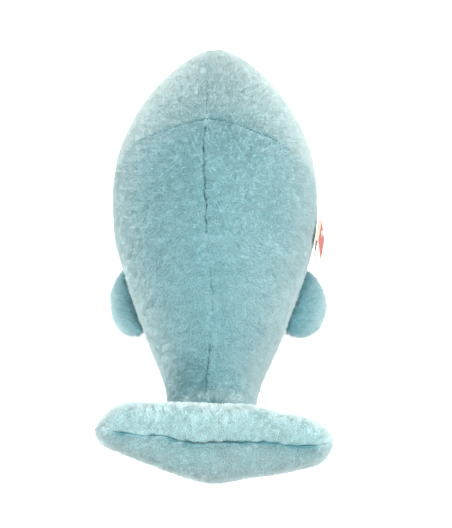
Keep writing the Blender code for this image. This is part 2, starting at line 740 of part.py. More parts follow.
def main():
    for thing in list(bpy.data.objects):
        bpy.data.objects.remove(thing)
    sides = {"left": 1, "right": -1}
    heads, backs = {}, {}
    for word, side in sides.items():
        heads[word] = body_panel(f"head_panel_{word}", "head", side, "plush")
        backs[word] = body_panel(f"back_panel_{word}", "back", side, "plush")
    belly = body_panel("belly_panel", "belly", 1, "belly_plush")
    stuffing = body_stuffing()
    hinge = np.array((0.0, *spine_places[-1]))
    fluke = make_fluke(hinge)
    reach = hinge_reach(fluke) + hinge_clearance
    half = body_width / 2
    hollow = cylinder_cutter("tail_hollow", hinge, hinge_axis_x, reach, -half, half, hollow_sides)
    for thing in (*backs.values(), belly, stuffing):
        cut(thing, hollow)
    for word, side in sides.items():
        make_flipper(side, word)
        make_eye(side, word, heads[word], stuffing)
    make_tag(backs["right"], stuffing)


main()
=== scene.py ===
import json
import math

import bpy
import numpy as np
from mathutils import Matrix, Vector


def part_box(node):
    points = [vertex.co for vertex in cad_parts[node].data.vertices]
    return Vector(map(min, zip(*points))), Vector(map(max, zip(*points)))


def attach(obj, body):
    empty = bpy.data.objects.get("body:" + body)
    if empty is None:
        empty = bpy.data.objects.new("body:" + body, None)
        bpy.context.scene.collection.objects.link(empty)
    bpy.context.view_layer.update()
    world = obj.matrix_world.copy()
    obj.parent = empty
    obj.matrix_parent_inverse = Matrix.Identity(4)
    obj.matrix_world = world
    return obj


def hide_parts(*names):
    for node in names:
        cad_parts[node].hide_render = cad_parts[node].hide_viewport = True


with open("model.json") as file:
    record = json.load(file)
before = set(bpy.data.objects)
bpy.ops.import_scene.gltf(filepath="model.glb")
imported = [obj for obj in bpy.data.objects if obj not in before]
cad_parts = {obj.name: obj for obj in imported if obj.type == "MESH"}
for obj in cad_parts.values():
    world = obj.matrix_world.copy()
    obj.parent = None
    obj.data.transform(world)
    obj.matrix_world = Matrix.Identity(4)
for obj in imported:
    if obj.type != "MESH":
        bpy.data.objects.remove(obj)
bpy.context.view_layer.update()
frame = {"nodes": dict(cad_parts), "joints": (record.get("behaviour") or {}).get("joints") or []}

joints = {joint["name"]: joint for joint in frame["joints"]}
gridShare = 1  # coarser grids while working
print("frame loaded:", len(frame["nodes"]), "nodes")

# The stuffed body, on the same stations as the solids. Along is a share of the spine from nose to tail,
# around is an angle from the ridge, and x is above 0 on the left. Each noise has a share, a size and a seed.
body = {
    "width": .162,
    "height": .142,
    "run": .395,
    "noseAhead": .191,
    # share of the run, height as a share of the body's
    "spine": ((0, .350), (.1, .415), (.236, .468), (.373, .488), (.509, .478),
              (.645, .436), (.77, .388), (.868, .384), (.95, .468), (1, .621)),
    "spineSteps": 600,
    "bend": 36,  # steps to each side over which the sections' directions are averaged
    # along, then shares: of the width, of the height above the spine, and below it
    "sections": ((0, 0, 0, 0), (.02, .17, .106, .14), (.05, .315, .17, .212), (.1, .507, .25, .293),
                 (.17, .708, .338, .366), (.25, .872, .419, .44), (.33, .977, .475, .49),
                 (.41, 1, .507, .504), (.5, .957, .487, .497), (.6, .814, .443, .456), (.7, .64, .387, .4),
                 (.8, .452, .325, .322), (.9, .395, .262, .255), (1, .385, .205, .2)),
    "topSquareness": (1.8, .3, .41),  # at the nose, what it gains towards the tail, and where it has it all
    "bellySquareness": 2.5,
    "noseStart": .0007,  # half width of the first row
    "full": .016,  # half width from which seams and lumps have their full size
    "least": .12,  # and the least share of it, at the nose
    "bellySeam": ((0, .56), (.1, .6), (.3, .64), (.6, .64), (.85, .6), (1, .58)),  # share of half a turn
    # radians off the middle, to the left
    "topSeamLean": ((0, .15), (.15, .14), (.25, .105), (.33, .092), (.39, .102), (.44, .105), (.52, .085),
                    (.575, .09), (.62, .06), (.76, .03), (.84, .115), (.9, .155), (1, .21)),
    "topSeamWander": ((.006, .009, 9), (.005, .0042, 10)),
    # how open the top seam shows, where the pile has closed over it or parted
    "topSeamOpen": ((0, .5), (.05, 1.2), (.3, 1.25), (.335, .3), (.37, .95), (.52, .85), (.6, .4),
                    (.7, .25), (.78, .4), (.86, .85), (1, 1)),
    "topSeamUneven": ((.3, .012, 12), (.45, .004, 13)),
    "leastOpen": .15,
    # the cross seam: share of the way round from the top seam to the belly seam, then along
    "crossLeft": ((0, .337), (.07, .344), (.23, .351), (.43, .355), (.5, .357), (1, .355)),
    "crossRight": ((0, .337), (.04, .338), (.126, .348), (.22, .359), (.31, .363), (.35, .367), (.38, .373),
                   (.44, .380), (.5, .381), (1, .372)),
    "crossLeftOpen": ((0, .25), (.06, .8), (.15, .75), (.25, .5), (.5, .5), (1, .4)),
    "crossRightOpen": ((0, .3), (.05, 1), (.2, 1), (.26, .4), (.33, .5), (.37, 1), (.43, .9), (.48, .2),
                       (1, .4)),
    "tailPull": .6,  # of a seam's pull at the end of the back and belly panels
    "rightTuck": .09,  # the tail is slimmer on the right by this share
    "tuckFrom": .72,
    "tuckOver": .2,
}


def eased(t):  # 3 t squared - 2 t cubed, level at 0 and at 1
    return t * t * (3 - 2 * t)


def stations(table, column, at):
    # cubic through a table's points, each with the slope that its neighbours give it
    knots = np.array([row[0] for row in table], float)
    values = np.array([row[column] for row in table], float)
    slopes = np.gradient(values, knots)
    at = np.clip(at, knots[0], knots[-1])
    left = np.clip(np.searchsorted(knots, at, side="right") - 1, 0, len(knots) - 2)
    span = knots[left + 1] - knots[left]
    t = (at - knots[left]) / span
    return ((1 + 2 * t) * (1 - t) ** 2 * values[left] + t * (1 - t) ** 2 * span * slopes[left]
            + eased(t) * values[left + 1] - t * t * (1 - t) * span * slopes[left + 1])


def unit(v):  # each vector divided by its own length
    return v / np.maximum(np.linalg.norm(v, axis=-1, keepdims=True), 1e-12)


spineRun = np.linspace(0, 1, body["spineSteps"])
spinePlace = np.stack((body["run"] * spineRun - body["noseAhead"],
                       body["height"] * stations(body["spine"], 1, spineRun)), -1)
spineDistance = np.concatenate(([0], np.cumsum(np.linalg.norm(np.diff(spinePlace, axis=0), axis=1))))
spineLength = spineDistance[-1]
spineTangent = unit(np.gradient(spinePlace, axis=0))
bend = body["bend"]
lengthened = np.concatenate((spineTangent[:1].repeat(bend, 0), spineTangent,
                             spineTangent[-1:].repeat(bend, 0)))
window = np.ones(2 * bend + 1)
spineTangent = unit(np.stack([np.convolve(lengthened[:, k], window, "valid") for k in (0, 1)], -1))


def onSpine(rows, along):  # y and z of the spine's points or tangents, in a straight line between two of them
    return [np.interp(along, spineDistance / spineLength, rows[:, k]) for k in (0, 1)]


def sectionOf(column, along):  # stations of the sections over the root of along, which makes the nose round
    rooted = [(math.sqrt(row[0]), row[column]) for row in body["sections"]]
    return stations(rooted, 1, np.sqrt(along))


def halfWidth(along):  # share of the sections * half the body's width
    return sectionOf(1, along) * body["width"] / 2


def bodySurface(along, around):
    # rounded squares carried along the spine: x = half width * sine of around, rise = height * its cosine,
    # both to the power of 2 / squareness, with the rise square to the spine
    along, around = np.broadcast_arrays(np.clip(along, 0, 1), around)
    side, up = np.sin(around), np.cos(around)
    atNose, gained, by = body["topSquareness"]
    power = 2 / np.where(up > 0, atNose + gained * np.clip(along / by, 0, 1), body["bellySquareness"])
    height = np.where(up > 0, sectionOf(2, along), sectionOf(3, along)) * body["height"]
    x = halfWidth(along) * np.sign(side) * np.abs(side) ** power
    rise = height * np.sign(up) * np.abs(up) ** power
    (y, z), (ty, tz) = onSpine(spinePlace, along), onSpine(spineTangent, along)
    return np.stack((x, y - rise * tz, z + rise * ty), -1)


def gridNormals(points):  # cross product of the two directions of a grid
    return unit(np.cross(np.gradient(points, axis=1), np.gradient(points, axis=0)))


def latticeValue(i, j, k, seed):  # the cell's whole numbers, multiplied and folded into one from 0 to 1
    h = (i * 374761393 + j * 668265263 + k * 2246822519 + seed * 3266489917) & 0xFFFFFFFF
    h = ((h ^ (h >> 15)) * 2246822519) & 0xFFFFFFFF
    h = ((h ^ (h >> 13)) * 3266489917) & 0xFFFFFFFF
    return ((h ^ (h >> 16)) & 0xFFFFFF) / 0xFFFFFF


def noise(points, size, seed):
    # from -1 to 1: values at the corners of cells of that size, weighted by an eased share of the way to each
    q = points / np.asarray(size)
    base = np.floor(q).astype(np.int64)
    f = eased(q - base)
    total = 0
    for corner in range(8):
        step = np.array([corner & 1, corner >> 1 & 1, corner >> 2])
        weight = np.prod(np.where(step == 1, f, 1 - f), axis=-1)
        cell = base + step + 100000  # keeps the numbers of the cells above 0
        total = total + weight * latticeValue(cell[..., 0], cell[..., 1], cell[..., 2], seed)
    return 2 * total - 1


def withNoise(values, place, rows, seed=0):  # values + the sum of share * noise of each row
    for share, size, own in rows:
        values = values + share * noise(place, size, seed + own)
    return values


# The cloth and the way in which it is sewn and filled.
cloth = {
    "thickness": .0014,
    "below": .0014,  # the woven ground lies this far under the pile's own surface
    "seamDepth": .0024,  # how far the sewn edge goes in
    "seamWidth": .0006,  # how fast the groove closes
    "dip": .0007,  # shallow pull of the seam on the cloth
    "dipWidth": .007,
    "pucker": .0005,
    "puckerSize": .009,
    "puckerReach": .006,
    "puckerSeed": 41,
    "lump": .0009,  # unevenness of the filling
    "lumps": ((.6, .030, 0), (.4, .0135, 7)),
    "bodySeed": 5,
    "offFloor": (.0004, .0018),  # least height of the outer side and of the inner one
}


def lumps(points, seed):  # large and small noises of the filling
    return withNoise(0, points, cloth["lumps"], seed)


def seamPull(distance, place):
    # groove * exp(-distance / its width) + dip * exp(-distance / its width) + puckers, which noise gives
    gather = cloth["pucker"] * noise(place, cloth["puckerSize"], cloth["puckerSeed"])
    return (cloth["seamDepth"] * np.exp(-distance / cloth["seamWidth"])
            + cloth["dip"] * np.exp(-distance / cloth["dipWidth"])
            + gather * np.exp(-distance / cloth["puckerReach"]))


# meshes


def gridFaces(rows, columns, closed=False, start=0):  # a quad for each cell, and back to the first if closed
    row = np.arange(rows - 1)[:, None]
    column = np.arange(columns if closed else columns - 1)[None, :]
    after = (column + 1) % columns
    corners = [row * columns + column, row * columns + after,
               (row + 1) * columns + after, (row + 1) * columns + column]
    return np.stack([c.ravel() for c in np.broadcast_arrays(*corners)], -1) + start


def wound(faces, flip):  # the same faces, read backwards if they are to be flipped
    return [f[:, ::-1] for f in faces] if flip else faces


def addPiece(name, points, faces, rides, materialOf, values=None, facing=None):
    # points and quads (or triangles) become one smooth object at the origin; values are numbers for each
    # point, facing is the way in which each point catches the light
    mesh = bpy.data.meshes.new(name)
    mesh.vertices.add(len(points))
    mesh.vertices.foreach_set("co", np.asarray(points, np.float32).ravel())
    sizes = np.concatenate([np.full(len(f), f.shape[1]) for f in faces])
    mesh.loops.add(int(sizes.sum()))
    mesh.loops.foreach_set("vertex_index", np.concatenate([f.ravel() for f in faces]).astype(np.int32))
    mesh.polygons.add(len(sizes))
    starts = np.concatenate(([0], np.cumsum(sizes)[:-1])).astype(np.int32)
    mesh.polygons.foreach_set("loop_start", starts)
    mesh.update(calc_edges=True)
    mesh.shade_smooth()
    for label, numbers in (values or {}).items():
        kept = mesh.attributes.new(label, "FLOAT", "POINT")
        kept.data.foreach_set("value", np.asarray(numbers, np.float32).ravel())
    if facing is not None:
        kept = mesh.attributes.new("custom_normal", "FLOAT_VECTOR", "POINT")
        kept.data.foreach_set("vector", np.asarray(facing, np.float32).ravel())
    piece = bpy.data.objects.new(name, mesh)
    bpy.context.scene.collection.objects.link(piece)
    mesh.materials.append(materialOf)
    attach(piece, rides)
    return piece


def makeShell(name, outer, inner, rides, materialOf, paintedShade, flip):
    # a grid and the one behind it, joined by a quad for each step round their borders
    rows, columns = outer.shape[:2]
    count = rows * columns
    index = np.arange(count).reshape(rows, columns)
    border = np.concatenate((index[0, :-1], index[:-1, -1], index[-1, :0:-1], index[:0:-1, 0]))
    following = np.roll(border, -1)
    rim = np.stack((border, border + count, following + count, following), -1)
    faces = [gridFaces(rows, columns), gridFaces(rows, columns, start=count)[:, ::-1], rim]
    points = np.concatenate((outer.reshape(-1, 3), inner.reshape(-1, 3)))
    values = {"paintedShade": np.tile(paintedShade.ravel(), 2)}
    return addPiece(name, points, wound(faces, flip), rides, materialOf, values)


# The pile: short strands on every panel.
pile = {
    "length": .0036,
    "shortest": .7,  # a strand's own share of the length
    "lengthSpread": .6,
    "foot": .00036,  # radius of a strand's foot
    "sink": .0005,  # the foot stands this far under the cloth
    "corners": (0, 2.0944, 4.1888),  # of the foot, thirds of a turn
    "offFloor": .0002,
    "density": 2.4e6,  # strands on a square metre
    "quick": (.4, 1.5),  # share of the strands, and width of their feet, while working
    "lean": .75,  # along the nap, against 1 straight up
    "clump": .5,  # how far neighbouring strands lean together
    "clumpSize": .003,
    "stray": .27,
    "ownWay": .5,  # how far a strand's own way, and not the cloth's, decides how it is lit
    "seamShare": .4,  # length beside a seam, where the pile is caught
    "seamReach": .0026,
    "bareSeam": .0004,
    "mostInPiece": 47000,
    "roundEye": -.4,  # change of length round the eyes
    "eyeReach": .003,
    "underEye": -.0006,  # no strands further in than this under an eye
    "seamShade": .55,  # painted shade beside a seam, where it stands open
    "seamShadeReach": .0026,
    "closing": 1.8,  # how far strands lean over a closed seam
    "parted": .63,  # less of that where the seam stands open
    "closingReach": .0035,
    # patches of painted shade: x, y, reach across, reach along, share (painted light below 0)
    "shadePatches": ((.020, .152, .019, .025, .7), (0, .192, .06, .014, .8), (.036, .015, .034, .085, .21),
                (-.012, -.045, .030, .028, .12), (-.038, .080, .028, .055, -.45)),
}
sides = (("left", 1), ("right", -1))
eyes = {}
for word, side in sides:
    low, high = (np.array(corner, float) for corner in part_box(f"eye_{word}"))
    eyes[word] = ((low + high) / 2, (high[1] - low[1]) / 2)


def eyeDistance(place):
    # seen from the side, the distance to the middle of the eye on this side less the eye's radius
    near = [np.where(place[..., 0] * centre[0] > 0,
                     np.linalg.norm(place[..., 1:] - centre[1:], axis=-1) - reach, 1)
            for centre, reach in eyes.values()]
    return np.minimum(*near)


def paintedShadeAt(place):  # painted shade on patches where shade falls, painted light where the share is below 0: share * exp(-(x / reach)^2 - (y / reach)^2), summed
    total = np.zeros(place.shape[:-1])
    for x, y, across, along, amount in pile["shadePatches"]:
        far = -((place[..., 0] - x) / across) ** 2 - ((place[..., 1] - y) / along) ** 2
        total = total + amount * np.exp(far)
    return total


def growPile(name, surface, rides, materialOf, seed, density=1.0, calm=1.0):
    # Strands stand on a surface as evenly as its area asks for, and each is a closed spike of four faces.
    # Way = up + lean * nap + clump * noise shared with its neighbours + stray * its own chance.
    # Length = the pile's * a share beside a seam or an eye * its own share.
    points = surface["points"]
    corners = [points[:-1, :-1], points[:-1, 1:], points[1:, 1:], points[1:, :-1]]
    area = np.linalg.norm(np.cross(corners[2] - corners[0], corners[3] - corners[1]), axis=-1) / 2
    thinned, widened = ((1, 1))
    count = int(area.sum() * pile["density"] * density * thinned)
    chance = np.random.default_rng(seed)
    marks = (np.arange(count) + chance.random(count)) / count * area.sum()
    pick = np.minimum(np.searchsorted(np.cumsum(area), marks), area.size - 1)
    row, column = np.divmod(pick, area.shape[1])
    u, v = chance.random((2, count, 1))

    def at(grid):  # straight-line mean of a cell's four corners
        upper = (1 - u) * grid[row, column] + u * grid[row, column + 1]
        lower = (1 - u) * grid[row + 1, column] + u * grid[row + 1, column + 1]
        return (1 - v) * upper + v * lower

    near = at(surface["room"][..., None])
    kept = near[:, 0] > pile["bareSeam"]
    row, column, u, v, near, count = row[kept], column[kept], u[kept], v[kept], near[kept], int(kept.sum())
    up, nap = unit(at(surface["normals"])), at(surface["nap"])
    foot = at(points) - pile["sink"] * up
    shared = np.stack([noise(foot, pile["clumpSize"], seed + k) for k in (1, 2, 3)], -1)
    way = up + pile["lean"] * nap + calm * pile["clump"] * shared
    way = unit(way + pile["stray"] * chance.normal(size=(count, 3)))
    share = pile["seamShare"] + (1 - pile["seamShare"]) * np.clip(near / pile["seamReach"], 0, 1)
    share = share * (1 + pile["roundEye"] * np.exp(-(eyeDistance(foot) / pile["eyeReach"]) ** 2)[:, None])
    own = pile["shortest"] + pile["lengthSpread"] * chance.random((count, 1))
    tip = foot + way * pile["length"] * share * own
    first = unit(np.cross(way, unit(chance.normal(size=(count, 3)))))
    second = np.cross(way, first)
    wide = pile["foot"] * widened
    spikes = [foot + wide * (math.cos(a) * first + math.sin(a) * second) for a in pile["corners"]]
    spikes = np.stack([*spikes, tip], 1)
    spikes[..., 2] = np.maximum(spikes[..., 2], pile["offFloor"])
    values = {"tip": np.tile((0, 0, 0, 1), count), "shade": np.repeat(chance.random(count), 4),
              "paintedShade": np.repeat(at(surface["paintedShade"][..., None])[:, 0], 4)}
    facing = np.repeat(unit(up + calm * pile["ownWay"] * way), 4, axis=0)
    triangles = np.array(((0, 1, 3), (1, 2, 3), (2, 0, 3), (0, 2, 1)))
    pieces = max(1, math.ceil(count / pile["mostInPiece"]))
    for part in range(pieces):
        low, high = count * part // pieces, count * (part + 1) // pieces
        here = slice(4 * low, 4 * high)
        faces = (np.arange(high - low)[:, None, None] * 4 + triangles).reshape(-1, 3)
        addPiece(f"{name}_{part + 1}", spikes[low:high].reshape(-1, 3), [faces], rides, materialOf,
                 {label: numbers[here] for label, numbers in values.items()}, facing[here])
    print(name, count, "strands")


# shader maths


class Value:  # a socket that adds, subtracts, multiplies and divides like a number
    def __init__(self, shader, socket):
        self.shader, self.socket = shader, socket

    def __add__(self, other):
        return self.shader.maths("ADD", self, other)

    def __radd__(self, other):
        return self.shader.maths("ADD", other, self)

    def __sub__(self, other):
        return self.shader.maths("SUBTRACT", self, other)

    def __rsub__(self, other):
        return self.shader.maths("SUBTRACT", other, self)

    def __mul__(self, other):
        return self.shader.maths("MULTIPLY", self, other)

    def __rmul__(self, other):
        return self.shader.maths("MULTIPLY", other, self)

    def clipped(self):  # kept from 0 to 1
        return self.shader.add("ShaderNodeClamp", {}, {0: self})


class Shader:  # one material and its nodes
    def __init__(self, name, fixed):
        self.material = bpy.data.materials.new(name)
        self.material.use_nodes = True
        self.tree = self.material.node_tree
        self.principled = self.tree.nodes["Principled BSDF"]
        for socket, value in fixed.items():
            self.principled.inputs[socket].default_value = value

    def add(self, kind, settings, inputs, out=0):  # any node: settings, then values or links of its sockets
        node = self.tree.nodes.new(kind)
        for key, value in settings.items():
            setattr(node, key, value)
        for key, value in inputs.items():
            if isinstance(value, Value):
                self.tree.links.new(value.socket, node.inputs[key])
            else:
                node.inputs[key].default_value = value
        return Value(self, node.outputs[out])

    def maths(self, operation, a, b=0.0):  # one operation on two numbers
        return self.add("ShaderNodeMath", {"operation": operation}, {0: a, 1: b})

    def place(self):  # where a point is on its own object
        return self.add("ShaderNodeTexCoord", {}, {}, 3)

    def noise(self, scale, **more):  # from 0 to 1, with that many cells to a metre
        return self.add("ShaderNodeTexNoise", {}, {"Vector": self.place(), "Scale": scale, **more})

    def attribute(self, name):  # the piece's own number at a point
        return self.add("ShaderNodeAttribute", {"attribute_name": name}, {}, 2)

    def blend(self, share, first, second):  # first colour * (1 - share) + second * share
        inputs = {0: share, 6: rgba(first), 7: rgba(second)}
        return self.add("ShaderNodeMix", {"data_type": "RGBA"}, inputs, 2)

    def closure(self, kind, colour):  # a plain shader of one colour
        return self.add(kind, {}, {"Color": rgba(colour)})

    def mix(self, share, first, second, last=False):  # between two shaders; the last one is what shows
        mixed = self.add("ShaderNodeMixShader", {}, {"Fac": share, 1: first, 2: second})
        if last:
            self.tree.links.new(mixed.socket, self.tree.nodes["Material Output"].inputs["Surface"])
        return mixed

    def feed(self, **sockets):  # values into sockets of the main shader, with _ for a space
        for name, value in sockets.items():
            self.tree.links.new(value.socket, self.principled.inputs[name.replace("_", " ")])


def rgba(colour):  # red, green and blue with full cover; a value is a colour already
    return colour if isinstance(colour, Value) else (*colour, 1.0)


def darkened(colour, share):  # each part of the colour * the share
    return tuple(c * share for c in colour)


weave = {"scale": 900.0, "detail": 2.0, "dark": .65, "bump": .5, "depth": .0004}
strand = {"foot": .1, "tip": .8, "own": .7, "patchScale": 34.0, "patch": {"Detail": 3.0, "Roughness": .55}}


def groundMaterial(name, tones):
    # the woven ground under the pile: ground * (dark to 1 by a fine noise), towards deep by the painted shade
    shader = Shader(name, {"Roughness": .95, "Specular IOR Level": .1})
    grain = shader.noise(weave["scale"], Detail=weave["detail"])
    bump = shader.add("ShaderNodeBump", {},
                      {"Strength": weave["bump"], "Distance": weave["depth"], "Height": grain})
    woven = shader.blend(grain, darkened(tones["ground"], weave["dark"]), tones["ground"])
    paintedShade = shader.attribute("paintedShade").clipped()
    shader.feed(Base_Color=shader.blend(paintedShade, woven, tones["deep"]), Normal=bump)
    return shader.material


def pileMaterial(name, tones):
    # Base colour = root to tip by the height on the strand + its own shade + noise of the patches, towards
    # deep by the painted shade, and nearer the tip where that share is below 0, a painted light. Part of the
    # light goes through, and looked at from the side the pile is mixed towards a pale shader, a painted
    # sheen: share of pale = rim * facing.
    # Both are less where shade is painted.
    fixed = {"Roughness": .85, "Specular IOR Level": .15, "Sheen Weight": .3, "Sheen Roughness": .5}
    shader = Shader(name, fixed)
    tip, shade = shader.attribute("tip"), shader.attribute("shade")
    patch = shader.noise(strand["patchScale"], **strand["patch"])
    shadeShare = shader.attribute("paintedShade")
    paintedShade, paintedLight = shadeShare.clipped(), (0 - shadeShare).clipped()
    height = tip * strand["tip"] + (shade - .5) * strand["own"] + (patch - .5) * tones["mottle"]
    height = (height + strand["foot"] + paintedLight).clipped()
    colour = shader.blend(height, tones["root"], tones["tip"])
    shader.feed(Base_Color=shader.blend(paintedShade, colour, tones["deep"]))
    main = Value(shader, shader.principled.outputs["BSDF"])
    through = shader.closure("ShaderNodeBsdfTranslucent", tones["tip"])
    pale = shader.closure("ShaderNodeBsdfDiffuse", tones["pale"])
    facing = shader.add("ShaderNodeLayerWeight", {}, {"Blend": .5}, 1)
    lit = shader.mix((1 - paintedShade) * tones["through"], main, through)
    shader.mix((facing * tones["rim"] * (1 - paintedShade)).clipped(), lit, pale, last=True)
    return shader.material


# pale and rim: colour and amount of a painted sheen at grazing angles; deep: colour of the painted shade
tealTones = {"ground": (.225, .44, .48), "root": (.235, .505, .555), "tip": (.49, .81, .85),
             "deep": (.07, .20, .23), "pale": (.62, .75, .74), "rim": .88, "through": .42, "mottle": .65}
litHeadTones = {"root": (.27, .54, .58), "tip": (.53, .84, .87), "deep": (.07, .20, .23),
             "pale": (.735, .87, .855), "rim": 1.12, "through": .42, "mottle": .45}  # a lighter copy of the teal pile: painted light on the head, and a stronger painted sheen
# a darker copy of the teal pile: painted shade on the flippers under the body
shadedFlipperTones = {"root": (.22, .46, .51), "tip": (.44, .72, .76), "deep": (.06, .23, .28),
                "pale": (.56, .72, .72), "rim": .7, "through": .35, "mottle": .45}
# a lighter copy of the teal pile: painted light on the fluke, which faces the light
litFlukeTones = {"ground": (.43, .66, .68), "root": (.53, .81, .83), "tip": (.82, .97, .98),
              "deep": (.10, .26, .29), "pale": (.74, .91, .91), "rim": .8, "through": .42, "mottle": .8}
bellyTones = {"ground": (.50, .56, .55), "root": (.60, .67, .65), "tip": (.88, .93, .91),
              "deep": (.4, .45, .44), "pale": (.9, .93, .92), "rim": .4, "through": .3, "mottle": .45}
fillTones = {"deep": (.6, .6, .58), "ground": (.82, .82, .8)}
tealGround, tealPile = groundMaterial("tealGround", tealTones), pileMaterial("tealPile", tealTones)
headPile = pileMaterial("headPile", litHeadTones)
flukePile, flukeGround = pileMaterial("flukePile", litFlukeTones), groundMaterial("flukeGround", litFlukeTones)
flipperPile = pileMaterial("flipperPile", shadedFlipperTones)
paleGround, palePile = groundMaterial("paleGround", bellyTones), pileMaterial("palePile", bellyTones)
fill = groundMaterial("hollowFibre", fillTones)

# The body panels, and the round front of the fluke, on which the back and belly panels end.
panels = {
    "head": {"rows": 110, "columns": 84, "ground": tealGround, "strands": headPile, "slot": "plush",
             "density": 1.0, "calm": .6},
    "back": {"rows": 190, "columns": 84, "ground": tealGround, "strands": tealPile, "slot": "plush",
             "density": 1.0, "calm": 1.0},
    "belly": {"rows": 240, "columns": 100, "ground": paleGround, "strands": palePile, "slot": "belly_plush",
              "density": .5, "calm": 1.0},
    "edges": (.0012, .9988),  # shares at which the outermost columns stand
    "crowding": .12,  # of rows and columns towards their ends
    "noseCrowding": 1.25,
    "noseSearch": (.1, 400),  # the first row is looked for up to here, in so many steps
    "crossGap": .0002,
}
tail = {"hinge": (.204, .088182), "reach": .0306, "side": .76, "gap": .0006, "covers": (.028, -.006),
        "from": .80, "steps": 160, "measuredAt": .95}


def crowded(count, first, last):  # shares, closer at both ends: t - crowding * sine of a turn
    t = np.linspace(0, 1, count)
    return first + (last - first) * (t - panels["crowding"] * np.sin(2 * math.pi * t))


def spineLine(along):  # a place on a straight line as long as the spine, for noises that run along it
    return np.stack((along * spineLength, 0 * along, 0 * along), -1)


def topSeam(along):  # angle of the seam: its lean + noises
    return withNoise(stations(body["topSeamLean"], 1, along), spineLine(along), body["topSeamWander"])


def bellySeam(along):  # angle of the seam: half a turn * its share
    return math.pi * stations(body["bellySeam"], 1, along)


def crossSeam(side, share):  # along, at a share of the way round
    return stations(body["crossLeft"] if side > 0 else body["crossRight"], 1, share)


def tailEnd(around):
    # the last place on each line along the body before it meets the front of the fluke, whose radius is
    # reach * (1 - (1 - side) * (1 - (1 - share of the half span) squared)) + gap
    along = np.linspace(tail["from"], 1, tail["steps"])[:, None]
    points = bodySurface(along, around[None, :])
    far = np.hypot(points[..., 1] - tail["hinge"][0], points[..., 2] - tail["hinge"][1])
    share = np.abs(points[..., 0]) / (fluke["span"] / 2)
    inside = far < tail["reach"] * (1 - (1 - tail["side"]) * (1 - (1 - share) ** 2)) + tail["gap"]
    first = np.where(inside.any(0), inside.argmax(0), len(along) - 1)
    return along[np.maximum(first - 1, 0), 0]


def seamLines(part, side, along):  # the two angles between which a panel lies
    if part == "belly":
        return bellySeam(along), 2 * math.pi - bellySeam(along)
    return side * topSeam(along), bellySeam(along)


def panelGrid(part, side):
    # rows from nose to tail: along = start + (end - start) * t, t crowded; columns from seam to seam:
    # around = upper seam + (lower seam - upper seam) * share
    rows, columns = (int(panels[part][word] * gridShare) for word in ("rows", "columns"))
    share = crowded(columns, *panels["edges"])
    noseAlong = np.linspace(0, *panels["noseSearch"])
    start = np.interp(body["noseStart"], halfWidth(noseAlong), noseAlong)
    t = crowded(rows, 0, 1)[:, None]
    cross, gap = crossSeam(side, share), panels["crossGap"] / spineLength
    low, high = seamLines(part, side, np.full(1, tail["measuredAt"]))
    if part == "head":
        along = start + (cross - gap - start) * t ** panels["noseCrowding"]
    elif part == "back":
        end = tailEnd(low + (high - low) * share)
        along = cross + gap + (end - (cross + gap)) * t
    else:
        end = tailEnd(low + (high - low) * share)
        along = start + (end - start) * np.linspace(0, 1, rows)[:, None] ** panels["noseCrowding"]
    low, high = seamLines(part, side, along)
    return along, low + (high - low) * share


def lengths(points, axis):  # distance along a grid line from its first point
    step = np.linalg.norm(np.diff(points, axis=axis), axis=-1)
    zero = np.zeros_like(np.take(step, [0], axis=axis))
    return np.concatenate((zero, np.cumsum(step, axis=axis)), axis=axis)


def panelSeams(part, side, along, points, across, down):
    # how open the top seam shows = its stations + noises; the pull is the strongest of the seams' pulls, each
    # times its opening, and the room is the least of the distances to a seam, each over its opening
    shown = np.ones_like(along)
    if part != "belly":
        line = along[:, :1]
        shown = withNoise(stations(body["topSeamOpen"], 1, line), spineLine(line), body["topSeamUneven"])
        shown = np.clip(shown, body["leastOpen"], 1)
    crossOpen = body["crossLeftOpen" if side > 0 else "crossRightOpen"]
    opening = stations(crossOpen, 1, np.linspace(0, 1, along.shape[1]))
    opening = np.clip(opening[None, :], body["leastOpen"], 1)
    acrossLeft, downLeft = across[:, -1:] - across, down[-1:] - down
    room = np.minimum(across / shown, acrossLeft)
    pull = np.maximum(seamPull(across, points) * shown, seamPull(acrossLeft, points))
    if part == "head":
        pull = np.maximum(pull, seamPull(downLeft, points) * opening)
        room = np.minimum(room, downLeft / opening)
    else:
        pull = np.maximum(pull, body["tailPull"] * seamPull(downLeft, points))
    if part == "back":
        pull = np.maximum(pull, seamPull(down, points) * opening)
        room = np.minimum(room, down / opening)
    return shown, room, pull


